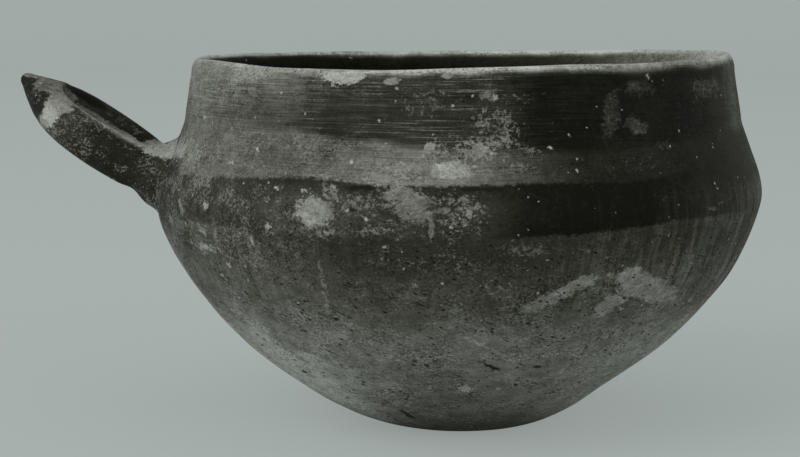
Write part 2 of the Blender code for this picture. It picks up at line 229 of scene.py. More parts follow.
# A sweep's least radius, lowest height and rise, and its knots in shares of the way out and up
SWEEPS = (
    (
        BASE_FLAT_RADIUS, 0, BELLY_HEIGHT,
        ((0, 0), (0.15, 0.02), (0.3, 0.09), (0.465, 0.215), (0.665, 0.39), (0.835, 0.6), (0.955, 0.81)),
    ),
    (NECK_RADIUS, BELLY_HEIGHT, SHOULDER_RISE, ((1, 0), (0.83, 0.32), (0.42, 0.61), (0.08, 0.86), (0, 1))),
)

knots = []
for least, low, rise, shares in SWEEPS:
    knots += [Vector((least + out * (BELLY_RADIUS - least), low + up * rise)) for out, up in shares]
knots.append(Vector((RIM_RADIUS, LIP_FOOT)))
LAST_STATION = len(knots) - 1
padded = [2 * knots[0] - knots[1], *knots, 2 * knots[-1] - knots[-2]]


def outline_at(station):
    """The (radius, height) on the outer face at a station."""
    index = min(max(int(station), 0), LAST_STATION - 1)
    share = station - index
    a, b, c, d = padded[index : index + 4]
    return 0.5 * (
        2 * b + (c - a) * share + (2 * a - 5 * b + 4 * c - d) * share**2 + (3 * b - a - 3 * c + d) * share**3
    )


def slope_at(station):
    return (outline_at(station + 0.01) - outline_at(station - 0.01)) / 0.02


def inside_at(station, depth=1.0):
    """The point a share of the wall's thickness behind the outer face, towards the neck's middle."""
    point = outline_at(station)
    run = slope_at(station).normalized()
    inward = (Vector((0, NECK_HEIGHT)) - point).normalized()
    square = inward.dot(Vector((-run.y, run.x)))
    rise = min(max(point.y / BELLY_HEIGHT, 0), 1)
    return point + depth * (WALL + (FLOOR - WALL) * (1 - rise) ** 2) / square * inward


# The same outline as a dense table, from the middle of the base to the lip
TABLE_STEPS = 600
LIP_ROUND = 2.4 * MM

table = [Vector((0, 0))] + [outline_at(i * LAST_STATION / TABLE_STEPS) for i in range(TABLE_STEPS + 1)]
for bend in (0.5, 1, 1.5):
    inset = LIP_ROUND * (1 - math.cos(bend))
    table.append(Vector((RIM_RADIUS - inset, LIP_FOOT + LIP_HEIGHT * math.sin(bend))))
wall_radius, rises = np.array([list(point) for point in table]).T
wall_height = np.maximum.accumulate(rises + np.arange(len(table)) * 1e-9)
wall_arc = np.concatenate([[0], np.cumsum(np.hypot(np.diff(wall_radius), np.diff(wall_height)))])


def station_at(height):
    stations = np.linspace(0, LAST_STATION, TABLE_STEPS + 1)
    return float(np.interp(height, wall_height[1 : TABLE_STEPS + 2], stations))


print("outline is", round(wall_arc[-1] / MM, 1), "mm long from base to lip")

# %% [markdown]
# ## Unevenness
# Nothing made by hand is truly round. The lower wall swells towards the handle, the rim isn't level, and
# palms and fingers left dents. One function moves every point by where it is, so members that meet still
# meet.

# %% Shape by hand
LEAN = 2.4 * MM
LEAN_END = 8 * MM
RIM_TILT = 0.8 * MM
RIM_SAG = 0.8 * MM
PALM_DENTS = (0.5 * MM, 34 * MM)  # depth and spacing
FINGER_DENTS = (0.16 * MM, 9 * MM)
RIM_WAVE = (0.35 * MM, 26 * MM)
# Rises of the rim: height, and in degrees the angle from the +X axis and the spread
RIM_LIFTS = ((0.9 * MM, -75, 22), (0.6 * MM, -148, 16))
# Where more or less clay was left: middle, reach, and how far it stands out
UNEVEN_PLACES = (
    (np.array((-92, -20, 65)) * MM, 11 * MM, 1.8 * MM),
    (np.array((-81, -17, 42)) * MM, 13 * MM, -0.9 * MM),
)
SCRAPED = (0.9 * MM, 61 * MM, 9 * MM)  # depth, height and spread of the flatter zone under the belly
FOOT_CALM = 6 * MM  # dents fade out below this height


def hump(away, spread):
    """Is 1 in the middle and falls away smoothly."""
    return np.exp(-((away / spread) ** 2))


def lengths(arrows):
    return np.linalg.norm(arrows, axis=1)


def bumps(points, depth, size):
    """A smooth chance height at each point."""
    return np.array([depth * noise.noise(Vector(point) / size) for point in points])


def get_points(piece):
    flat = np.empty(len(piece.data.vertices) * 3)
    piece.data.vertices.foreach_get("co", flat)
    return flat.reshape(-1, 3)


def set_points(piece, points):
    piece.data.vertices.foreach_set("co", points.ravel())
    piece.data.update()


def hand_shape(points):
    """Moves points of the round pot to where the potter's hands left them."""
    x, y, z = points.T
    dents = bumps(points, *PALM_DENTS) + bumps(points, *FINGER_DENTS)
    outward = points - np.array([0, 0, NECK_HEIGHT])
    outward[:, 2] *= 0.6
    outward /= np.maximum(lengths(outward), MM)[:, None]
    scraped = SCRAPED[0] * hump(z - SCRAPED[1], SCRAPED[2])
    uneven = dents * np.clip(z / FOOT_CALM, 0, 1) - scraped
    for middle, reach, height in UNEVEN_PLACES:
        uneven += height * hump(lengths(points - middle), reach)
    moved = points + outward * uneven[:, None]

    swell = np.sin(np.pi * np.clip(z / (BELLY_HEIGHT + LEAN_END), 0, 1) ** 0.6)
    moved[:, 0] -= LEAN * swell

    angle = np.arctan2(y, x)
    wave = bumps(points * (1, 1, 0) + (0, 0, 0.5), *RIM_WAVE)
    for height, place, spread in RIM_LIFTS:
        wave += height * hump(np.degrees(angle) - place, spread)
    upper = np.clip((z - NECK_HEIGHT) / (LIP_FOOT + LIP_HEIGHT - NECK_HEIGHT), 0, 1) ** 2
    moved[:, 2] += upper * (RIM_TILT * np.cos(angle) + RIM_SAG * np.cos(2 * angle) + wave)
    return moved


print("the palms left dents about", round(PALM_DENTS[0] / MM, 2), "mm deep")

# %% [markdown]
# ## The wall's members
# The pad, the three bands and the lip coil are turned forms: a cross-section is drawn and spun. Its chain
# starts from a plane whose corners are merged to one point, and is extruded along.

# %% Spin a cross-section
STEPS_ROUND = 480
OUTER_SPACING = 1.25 * MM
INNER_SPACING = 2.2 * MM
SEAM_LAP = 3.2 * MM
PAD_SEAM = 2.4 * MM
BELLY_SEAM = BELLY_HEIGHT - 7 * MM
NECK_SEAM = NECK_HEIGHT - 4 * MM
LIP_SEAM = LIP_FOOT - 3.2 * MM
ACROSS = Vector((0, 1, 0))
UPWARD = Vector((0, 0, 1))


def spaced(first, last, count):
    return [first + (last - first) * i / (count - 1) for i in range(count)]


def draw_chain(name, section, closed, angle=0.0):
    """A chain of edges through (radius, height) points, left picked in edit mode."""
    side = Vector((math.cos(angle), math.sin(angle), 0))
    choose()
    bpy.ops.mesh.primitive_plane_add(size=MM)
    piece = named(name)
    edit("VERT")
    bpy.ops.mesh.merge(type="CENTER")
    bpy.ops.transform.translate(value=section[0].x * side + section[0].y * UPWARD)
    for here, there in zip(section, section[1:]):
        step = there - here
        extrude(step.x * side + step.y * UPWARD)
    if closed:
        to_mode("OBJECT")
        for vertex in piece.data.vertices:
            vertex.select = vertex.index in (0, len(section) - 1)
        to_mode("EDIT")
        bpy.ops.mesh.edge_face_add()
    pick_all()
    return piece


def close_up(piece):
    """Merges doubles and turns all faces outwards."""
    pick_all()
    bpy.ops.mesh.remove_doubles(threshold=1e-6)
    bpy.ops.mesh.normals_make_consistent(inside=False)
    to_mode("OBJECT")
    print(piece.name, "has", len(piece.data.polygons), "faces")
    return piece


def spin(steps, angle, **more):
    bpy.ops.mesh.spin(steps=steps, angle=angle, center=(0, 0, 0), axis=(0, 0, 1), **more)


def turn(name, section, closed):
    piece = draw_chain(name, section, closed)
    spin(STEPS_ROUND, math.tau, use_auto_merge=True)
    return close_up(piece)


def path_length(place, low, high, count=30):
    """How long a path is between two stations, through so many points."""
    stations = spaced(low, high, count)
    return sum((place(b) - place(a)).length for a, b in zip(stations, stations[1:]))


def between(low, high, spacing, place):
    """Points from one station to another, spaced evenly."""
    count = max(3, round(path_length(place, low, high) / spacing))
    return [place(station) for station in spaced(low, high, count)]


def lap(station):
    """The station where a seam that starts at this one outside comes out inside."""
    return station + SEAM_LAP / slope_at(station).length


def band(name, low_height, high_height):
    low, high = station_at(low_height), station_at(high_height)
    outer = between(low, high, OUTER_SPACING, outline_at)
    inner = between(lap(high), lap(low), INNER_SPACING, inside_at)
    return turn(name, outer + inner, True)

# %% Pad, bands and lip
BANDS = {
    "lower_bowl": (PAD_SEAM, BELLY_SEAM),
    "shoulder_band": (BELLY_SEAM, NECK_SEAM),
    "neck_band": (NECK_SEAM, LIP_SEAM),
}

pad_edge = station_at(PAD_SEAM)
pad_section = [Vector((radius * MM, 0)) for radius in (0, 3, 6, 9, 11)]
pad_section += between(0, pad_edge, OUTER_SPACING, outline_at)
pad_section += between(lap(pad_edge), 0, INNER_SPACING, inside_at)
pad_section += [Vector((radius * MM, FLOOR)) for radius in (8, 4, 0)]
pieces = {"base_pad": turn("base_pad_clay", pad_section, False)}
for node, (low_height, high_height) in BANDS.items():
    pieces[node] = band(node + "_clay", low_height, high_height)

lip_low = station_at(LIP_SEAM)
inner_spring = inside_at(LAST_STATION)
lip_middle = (RIM_RADIUS + inner_spring.x) / 2
lip_half = (RIM_RADIUS - inner_spring.x) / 2
lip_section = between(lip_low, LAST_STATION, OUTER_SPACING / 2, outline_at)
for bend in spaced(0, math.pi, 17)[1:]:
    radius = lip_middle + lip_half * math.cos(bend)
    lip_section.append(Vector((radius, LIP_FOOT + LIP_HEIGHT * math.sin(bend))))
lip_section += between(LAST_STATION, lap(lip_low), OUTER_SPACING, inside_at)[1:]
pieces["lip_coil"] = turn("lip_coil_clay", lip_section, True)

# %% [markdown]
# ## The handle's path
# The handle is one loop of clay. It roots in the shoulder with both ends, rises and is pinched to a point.
# Each arm has an upright oval section.

# %% Path of the handle
ROOT_RISE = 7 * MM
ROOT_SLOPE = math.radians(25.5)
ROOT_RUN = 27.5 * MM
TIP_REACH = 45.5 * MM
TIP_RISE = 30.2 * MM
ROOT_SPREAD = 13 * MM
ROOT_TWIST = 1.2 * MM
LOOP_SPREAD = 17.4 * MM
ARM_WIDTH = 9.6 * MM
ARCH_WIDTH = 6.2 * MM
ARM_HEIGHT = (15.6 * MM, 11.6 * MM)  # at the root and at the point
BACK_THINNER = 0.3  # share by which the back arm is lower at its root
BACK_RISE = 1.1 * MM  # how much higher the back arm runs half-way
ROOT_SWELL = (4.6 * MM, 2.6 * MM)  # how much wider and higher a root is on each side
SWELL_REACH = (5.5 * MM, 3.7 * MM)
# Dent of a thumb under the front arm: depth, distance from the wall and spread
DENT = (0.9 * MM, 5 * MM, 3.2 * MM)
POINT_LENGTH = 9.6 * MM
POINT_JOINT = 9.1 * MM
root_height = BELLY_HEIGHT + ROOT_RISE
root_point = Vector((-outline_at(station_at(root_height)).x, 0, root_height))


def spine_at(share):
    """The handle's middle line in the XZ plane, from the wall at 0 to the point at 1."""
    bend = root_point + ROOT_RUN * Vector((-math.cos(ROOT_SLOPE), 0, math.sin(ROOT_SLOPE)))
    tip = root_point + Vector((-TIP_REACH, 0, TIP_RISE))
    return (1 - share) ** 2 * root_point + 2 * (1 - share) * share * bend + share**2 * tip


def spine_run(share):
    return (spine_at(share + 0.01) - spine_at(share - 0.01)).normalized()


def spine_up(share):
    return ACROSS.cross(spine_run(share))


spine_length = path_length(spine_at, 0, 1, 21)
ARCH_SHARE = 1 - POINT_LENGTH / spine_length
JOINT_SHARE = ARCH_SHARE - POINT_JOINT / spine_length


def loop_at(turn_share):
    """The loop's middle line, from the front root at -1 over the arch at 0 to the back root at 1."""
    half_way = math.sqrt(0.5)
    bulge = (LOOP_SPREAD / half_way - ROOT_SPREAD) / (1 - half_way**2)
    spread = turn_share * (ROOT_SPREAD + bulge * (1 - turn_share**2))
    share = ARCH_SHARE * (1 - turn_share**2)
    rise = BACK_RISE * 4 * turn_share**2 * (1 - turn_share**2) if turn_share > 0 else 0
    return spine_at(share) + spread * ACROSS + (rise - ROOT_TWIST * turn_share**3) * UPWARD, share


def oval(centre, across, up, half_width, half_height, sides=32):
    angles = [math.tau * i / sides for i in range(sides)]
    return [centre + half_width * math.cos(a) * across + half_height * math.sin(a) * up for a in angles]


def arm_ring(turn_share, push=0.0):
    centre, share = loop_at(turn_share)
    run = (loop_at(turn_share + 0.01)[0] - loop_at(turn_share - 0.01)[0]).normalized()
    up = spine_up(share)
    height = ARM_HEIGHT[0] + (ARM_HEIGHT[1] - ARM_HEIGHT[0]) * share
    height *= 1 - BACK_THINNER * max(turn_share, 0) ** 4
    width = ARM_WIDTH + (ARCH_WIDTH - ARM_WIDTH) * (1 - turn_share**2) ** 4
    reach = share * spine_length
    wider, higher = (most * hump(reach, fade) for most, fade in zip(ROOT_SWELL, SWELL_REACH))
    half_width = width / 2 + float(wider)
    half_height = height / 2 + float(higher)
    dent = DENT[0] * float(hump(reach - DENT[1], DENT[2])) if turn_share < 0 else 0
    centre += push * run + dent / 2 * up
    return oval(centre, run.cross(up).normalized(), up, half_width, half_height - dent / 2)


print("handle's middle line is", round(spine_length / MM, 1), "mm long")

# %% [markdown]
# ## Clay pressed together
# A potter presses and smears wet clay together, so no edge is left where members meet. The rough forms are
# laid into each other, remeshed into one skin and smoothed, most of all round the roots.

# %% Tube of rings
def tube(name, rings):
    """A filled circle is extruded ring by ring, and its points are laid on the rings."""
    choose()
    bpy.ops.mesh.primitive_circle_add(vertices=len(rings[0]), radius=MM, fill_type="NGON")
    piece = named(name)
    edit("FACE")
    pick_all()
    for _ in rings[1:]:
        extrude((0, 0, MM))
    to_mode("OBJECT")
    set_points(piece, np.array([list(point) for ring in rings for point in ring]))
    to_mode("EDIT")
    return close_up(piece)


STUB = 3.2 * MM  # how deep the rough ends sit in the wall
bar_rings = [arm_ring(-1, push=-STUB)] + [arm_ring(t) for t in spaced(-1, 1, 65)] + [arm_ring(1, push=STUB)]
rough_loop = tube("rough_loop", bar_rings)

# %% Rough point and web
POINT_WIDTH = 29 * MM
POINT_HEIGHT = 14.4 * MM
POINT_END = 4.8 * MM
POINT_LAP = 1.2 * MM
POINT_TAPER = 1.2
WEB_REACH = 7.4 * MM
WEB_HEIGHT = 19.6 * MM
WEB_LIFT = 1.8 * MM

point_rings = []
for step in spaced(0, 1, 13):
    share = ARCH_SHARE - POINT_LAP / spine_length
    share += (1 - share) * step
    width = POINT_WIDTH + (POINT_END - POINT_WIDTH) * step**POINT_TAPER
    height = POINT_HEIGHT + (POINT_END - POINT_HEIGHT) * step**POINT_TAPER
    point_rings.append(oval(spine_at(share), ACROSS, spine_up(share), width / 2, height / 2))
for bend in (0.5, 1.0, 1.35):
    centre = spine_at(1) + spine_run(1) * POINT_END / 2 * math.sin(bend)
    point_rings.append(oval(centre, ACROSS, spine_up(1), *[POINT_END / 2 * math.cos(bend)] * 2))
rough_point = tube("rough_point", point_rings)

web_rings = []
for step in spaced(-1, 1, 13):
    centre = root_point + step * ROOT_SPREAD * ACROSS - step * ROOT_TWIST * UPWARD + WEB_LIFT * spine_up(0)
    web_rings.append(oval(centre, spine_run(0), spine_up(0), WEB_REACH, WEB_HEIGHT / 2))
rough_web = tube("rough_web", web_rings)

# %% Rough patch of wall
PATCH_REACH = math.radians(27)
PATCH_LOW = 50 * MM
PATCH_HIGH = 106 * MM
PATCH_SPACING = 1.6 * MM
PATCH_DEPTH = 0.72  # share of the wall's thickness

patch_low, patch_high = station_at(PATCH_LOW), station_at(PATCH_HIGH)
patch_section = between(patch_low, patch_high, PATCH_SPACING, outline_at)
patch_section += between(patch_high, patch_low, PATCH_SPACING, lambda at: inside_at(at, PATCH_DEPTH))
rough_wall = draw_chain("rough_wall", patch_section, True, math.pi + PATCH_REACH)
bpy.ops.mesh.edge_face_add()
spin(64, 2 * PATCH_REACH)
pick_all()
bpy.ops.mesh.fill_holes(sides=0)
close_up(rough_wall)

# %% One skin
VOXEL = 0.6 * MM
SMOOTH_ALL = 10
SMOOTH_ROOTS = 180
ROOT_BLEND = (4 * MM, 12 * MM)  # smoothed fully so near the wall, and not at all so far from it
FLAT_HEIGHT = 0.3 * MM  # points lower than this are on the flat


def measure(points):
    """For points of the round pot: angle in degrees, arc length, and distance outside the wall."""
    x, y, z = points.T
    radius = np.hypot(x, y)
    angle = np.degrees(np.arctan2(x, -y))
    height = np.clip(z, 0, wall_height[-1])
    on_flat = z < FLAT_HEIGHT
    arc = np.where(on_flat, np.minimum(radius, BASE_FLAT_RADIUS), np.interp(height, wall_height, wall_arc))
    run = np.gradient(wall_radius, wall_arc)
    upright = np.sqrt(np.clip(1 - np.interp(arc, wall_arc, run) ** 2, 0.02, 1))
    return angle, arc, (radius - np.interp(height, wall_height, wall_radius)) * upright


def apply_modifier(piece, kind, **settings):
    choose(piece)
    modifier = piece.modifiers.new(kind.lower(), kind)
    configure(modifier, settings)
    bpy.ops.object.modifier_apply(modifier=modifier.name)


choose(rough_point, rough_web, rough_wall, rough_loop)
bpy.ops.object.join()
handle_skin = named("handle_skin")
apply_modifier(handle_skin, "REMESH", mode="VOXEL", voxel_size=VOXEL)
apply_modifier(handle_skin, "SMOOTH", factor=0.5, iterations=SMOOTH_ALL)

_, _, proud = measure(get_points(handle_skin))
share = np.clip((ROOT_BLEND[1] - proud) / (ROOT_BLEND[1] - ROOT_BLEND[0]), 0, 1)
roots = handle_skin.vertex_groups.new(name="roots")
for index, weight in enumerate(share):
    roots.add([index], float(weight), "REPLACE")
apply_modifier(handle_skin, "SMOOTH", factor=0.5, iterations=SMOOTH_ROOTS, vertex_group="roots")
print("one skin of", len(handle_skin.data.polygons), "faces")

# %% Feather the skin into the wall
# What lies level with the wall is sunk just behind the wall's own face, so the fillet runs out at a shallow
# angle and no second skin shows.
SINK = 0.32 * MM
FEATHER = 1.4 * MM

points = get_points(handle_skin)
_, _, proud = measure(points)
inward = -points * np.array([1, 1, 0])
inward /= lengths(inward)[:, None]
sunk = SINK * np.clip((FEATHER - proud) / FEATHER, 0, 1)
set_points(handle_skin, points + inward * sunk[:, None])
print("feathered", int((sunk > 0).sum()), "points")

# %% [markdown]
# ## Cutting the skin at the joints
# The skin is copied for each member and bisected at the CAD's joint planes.

# %% Cut out the handle's members
LUTING_REACH = 9 * MM
WEB_HALF = ROOT_SPREAD - ARM_WIDTH / 2 - 1.2 * MM
JOINT = (spine_at(JOINT_SHARE), spine_run(JOINT_SHARE))
ROOTS = (root_point + LUTING_REACH * spine_run(0), spine_run(0))
WEB_FRONT = (-WEB_HALF * ACROSS, ACROSS)
WEB_BACK = (WEB_HALF * ACROSS, ACROSS)
MIDDLE = (0 * ACROSS, ACROSS)


def cut_out(name, cuts):
    """A copy of the skin, cut by planes, each with whether the side its normal points to is kept."""
    choose(handle_skin)
    bpy.ops.object.duplicate()
    piece = named(name)
    to_mode("EDIT")
    for (place, normal), keep in cuts:
        pick_all()
        bpy.ops.mesh.bisect(
            plane_co=place, plane_no=normal, use_fill=True, clear_inner=keep, clear_outer=not keep
        )
    return close_up(piece)


CUTS = {
    "handle_point": [(JOINT, True)],
    "handle_arm_front": [(JOINT, False), (ROOTS, True), (MIDDLE, False)],
    "handle_arm_back": [(JOINT, False), (ROOTS, True), (MIDDLE, True)],
    "luting_front": [(ROOTS, False), (WEB_FRONT, False)],
    "luting_back": [(ROOTS, False), (WEB_BACK, True)],
    "saddle_web": [(ROOTS, False), (WEB_FRONT, True), (WEB_BACK, False)],
}
for node, cuts in CUTS.items():
    pieces[node] = cut_out(node + "_clay", cuts)
bpy.data.objects.remove(handle_skin)

# %% [markdown]
# ## Pads over the tenons
# Inside the bowl a thumb-sized pad of clay is smeared over each tenon's end. It starts as a ball and is
# flattened against the wall.

# %% Tenon pads
PAD_GROW = 1.25  # size over the CAD pad's
PAD_HALF = 2.6 * MM  # half the thickness
PAD_SHIFT = 0.6 * MM  # towards the wall


def tenon_pad(node):
    low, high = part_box(node)
    middle = (low + high) / 2
    outward = Vector((middle.x, middle.y, 0)).normalized()
    half = PAD_GROW * (high.z - low.z) / 2
    frame_of_pad = Matrix((UPWARD.cross(outward) * half, UPWARD * half, outward * PAD_HALF)).transposed()
    choose()
    bpy.ops.mesh.primitive_uv_sphere_add(segments=48, ring_count=24, radius=1)
    piece = named(node + "_clay")
    middle += outward * PAD_SHIFT
    set_points(piece, np.array([list(frame_of_pad @ vertex.co + middle) for vertex in piece.data.vertices]))
    to_mode("EDIT")
    return close_up(piece)


for node in ("tenon_cap_front", "tenon_cap_back"):
    pieces[node] = tenon_pad(node)

# %% [markdown]
# ## Wear and painted light and shade, told point by point
# The slip is thick and dark on the right, thin on the left and rubbed off in patches, and the round bottom
# was left bare. Some tones are painted light and shade: a highlight on the lip's crest, light over the lower
# wall, at its edges and on the right inner wall, and shade at the foot, round the handle's roots and on the
# back arm's inner face. What has a place is kept as an attribute of the mesh, and the finish adds the grain.
# Tone runs from the darkest slip at 0 to the palest clay at 1. Angles count from the front, positive to the
# right.

# %% Zones of the wall
# Above the shoulder line lie the shoulder, the neck and the lip. Below it the slip is a dark band, and then
# thins out over the round bottom, which is paler with painted light from below and darker at the foot with
# painted shade. The tables are read by angle, but for those that say otherwise. Lines are heights in
# millimetres, and the rest is in per cent.
SHOULDER_LINE = {
    -180: 83.5, -72: 80.5, -60: 81.6, -48: 82.4, -33: 84, -24: 84.5, -15: 83.4, -5: 83, 7: 83.6, 15: 84,
    34: 83.2, 49: 84.9, 67: 83.3, 120: 84, 180: 83.5
}
BAND_LINE = {-180: 69, -36: 69.1, 0: 68.4, 10: 69.1, 25: 70, 36: 71, 44: 72.1, 60: 71.7, 100: 70, 180: 69}
NECK_LINE = {
    -180: 96, -60: 98.4, -40: 98, -30: 97.3, -25: 96.6, -12: 94.7, 0: 93.2, 10: 92.4, 30: 92.5, 60: 94,
    180: 96
}
LIP_LINE = {
    -180: 112, -60: 109.5, -45: 110.6, -38: 111.6, -20: 112.7, 0: 113.4, 20: 113.4, 36: 112.8, 52: 113.2,
    180: 112.5
}
CREST = 114.2  # top of the lip, where a painted highlight runs

SHOULDER_TONE = {
    -180: 35, -90: 48, -55: 50, -38: 45, -28: 42, -14: 47, 0: 48, 8: 42, 12: 33, 16: 25, 20: 17, 25: 10,
    32: 7, 60: 8, 80: 23, 130: 25, 180: 35
}
NECK_TONE = {
    -180: 30, -90: 50, -57: 52, -47: 45, -38: 36, -30: 28, -22: 20, 0: 18, 8: 18, 12: 11, 18: 2, 45: 2,
    58: 5, 66: 14, 74: 36, 90: 32, 130: 20, 180: 30
}
LIP_TONE = {
    -180: 80, -150: 66, -90: 68, -55: 62, -30: 60, 0: 66, 20: 70, 34: 52, 60: 60, 80: 80, 120: 66, 160: 80,
    180: 80
}
BAND_TONE = {
    -180: 25, -100: 30, -66: 33, -57: 26, -47: 23, -38: 22, -30: 27, -18: 26, -8: 20, 6: 18, 10: 11, 14: 3,
    20: 0, 38: 1, 45: 7, 55: 11, 62: 17, 76: 36, 100: 26, 140: 20, 180: 25
}
# Tone under the band, by height, and what the side adds to it. By height it is paler over the lower wall,
# partly bare clay and partly painted light from below, and darker at the foot, painted shade where it faces
# down.
UNDER_BY_HEIGHT = {0: 28, 5: 33, 11: 45, 20: 51, 31: 54, 38: 50, 43: 41, 50: 30, 56: 26, 64: 18, 76: 17}
# The side adds most at the left and right edges, partly a painted rim light
UNDER_BY_SIDE = {
    -180: 0, -110: 10, -90: 46, -74: 40, -60: 34, -45: 30, -33: 19, -20: 7, 0: -3, 15: -4, 30: 3, 45: 10,
    60: 16, 72: 26, 90: 42, 120: 15, 180: 0
}
# Inside, by angle: dark slip, and on the right inner wall a painted pool of light
INNER_SLIP_AND_PAINTED_LIGHT = {
    -180: 6, -150: 2, -110: 1, -60: 3, 0: 8, 60: 30, 85: 90, 105: 90, 120: 62, 135: 42, 150: 26, 162: 13,
    180: 8
}
FLOOR_TONE = (0.3, 45, 80)  # of the inner floor, and the heights between which the inner wall's tones and painted light take over
STROKES = {-180: 60, -60: 50, -30: 75, -18: 100, 4: 100, 18: 90, 26: 50, 60: 35, 180: 60}
DRIPS = {-180: 40, -70: 45, -35: 40, -20: 20, 12: 20, 28: 90, 80: 100, 180: 40}
FLECKS = {
    -180: 50, -90: 100, -60: 100, -50: 92, -36: 90, -28: 75, 0: 70, 12: 45, 20: 12, 50: 30, 80: 50, 180: 50
}
EDGE_SPAN = 8  # millimetres over which an edge's attribute runs from 0 to 1
INNER_DEPTH = (1.5 * MM, 3 * MM)  # depths between which a point passes to the inside
ZONE_TONES = ("tone_upper", "tone_band", "tone_under")
ATTRIBUTES = ZONE_TONES + (
    "edge_shoulder", "edge_band", "worn", "flake", "dark", "worn_tone", "strokes", "drips", "speckle", "voids"
)


def along(table, value):
    """Reads a table at each value."""
    return np.interp(value, list(table), list(table.values()))


def told(table, value):
    """Reads a table that is in per cent."""
    return along(table, value) / 100


def ramp(value, low, high):
    """Rises smoothly from 0 to 1 between two values, or falls if the first is the higher."""
    share = np.clip((value - low) / (high - low), 0, 1)
    return share * share * (3 - 2 * share)


def mixed(share, here, there):
    """What is here, or where the share is 1 what is there."""
    return here * (1 - share) + there * share


def wander(angle, size, depth):
    """A slow wandering of an edge round the pot."""
    turns = np.radians(angle)
    return depth * np.array([noise.noise(Vector((math.cos(a), math.sin(a), size)) * size) for a in turns])


def paint_wall(angle, arc, proud):
    """The attributes of points on the wall. Ramps run between millimetres or degrees."""
    height = np.interp(arc, wall_arc, wall_height) / MM
    uneven = height + wander(angle, 7, 1.0)
    lip = ramp(uneven - along(LIP_LINE, angle), -1.0, 1.0)
    neck = ramp(uneven - along(NECK_LINE, angle), -1.8, 1.4)
    not_behind = ramp(-angle, -175, -130)
    left = ramp(-angle, 5, 35) * ramp(angle, -170, -130)
    values = dict.fromkeys(ATTRIBUTES, np.zeros(len(angle)))

    # The left of the neck fades upwards, and a painted highlight runs along the lip's crest.
    fading = 0.012 * (height - 103) * left
    crest_highlight = 0.16 * ramp(height, CREST - 0.8, CREST + 0.4)
    upper = mixed(neck, told(SHOULDER_TONE, angle), told(NECK_TONE, angle) + fading)
    values["tone_upper"] = mixed(lip, upper, told(LIP_TONE, angle) + crest_highlight)

    # The band is darker just below the shoulder line.
    above = height - along(SHOULDER_LINE, angle)
    darker_below_line = ramp(above, -7, 0) * ramp(angle, -42, -28) * not_behind
    values["tone_band"] = told(BAND_TONE, angle) * (1 - 0.45 * darker_below_line)

    # The side tells less on the left half of the belly but for its edge, which keeps a painted rim light, and
    # low on the left the tone is paler.
    belly = ramp(height, 26, 48) * ramp(angle, -78, -58)
    side = told(UNDER_BY_SIDE, angle) * ramp(height, 1, 6) * (1 - 0.55 * belly)
    low_left = 0.1 * left * ramp(height, 0, 4) * ramp(height, 32, 20)
    wavy = height + wander(angle, 5, 5.0)
    values["tone_under"] = told(UNDER_BY_HEIGHT, wavy) + side + low_left

    values["edge_shoulder"] = 0.5 + above / EDGE_SPAN
    values["edge_band"] = 0.5 + (height - along(BAND_LINE, angle)) / EDGE_SPAN
    values["strokes"] = told(STROKES, angle) * (0.45 + 0.55 * neck * (1 - lip)) * ramp(height, 80, 86)
    values["drips"] = told(DRIPS, angle) * ramp(height, 40, 54) * ramp(height, 83, 79)
    flaking = 0.1 * ramp(height, 60, 80) * (1 - lip)
    values["flake"] = 0.06 + flaking * ramp(-angle, -20, 20) * ramp(angle, -175, -130)
    values["speckle"] = told(FLECKS, angle) * (0.6 + 0.4 * ramp(height, 83, 80) * ramp(height, 56, 62))
    values["voids"] = 1 - 0.7 * ramp(height, 62, 84)
    values["worn_tone"] = np.full(len(angle), 0.55)

    # The inside has its own tones, dark slip and a painted pool of light on its right wall, and little wear.
    crest_side = uneven + 1.2 * ramp(abs(angle), 130, 158)
    inner = ramp(-proud, *INNER_DEPTH) * ramp(crest_side, 115.5, 113)
    inside = mixed(ramp(height, *FLOOR_TONE[1:]), FLOOR_TONE[0], told(INNER_SLIP_AND_PAINTED_LIGHT, angle))
    for name in ZONE_TONES:
        values[name] = mixed(inner, values[name], inside)
    for name in ("drips", "speckle", "strokes", "flake"):
        values[name] = values[name] * (1 - 0.8 * inner)
    return values


print("the slip's zones are", ", ".join(ZONE_TONES))

# %% [markdown]
# ## Marks and where the photograph shows them
# A mark is written with the pixel of the photograph where its middle shows. Each point of a mesh is projected
# to that frame, and a mark only takes the outer points that face the lens.

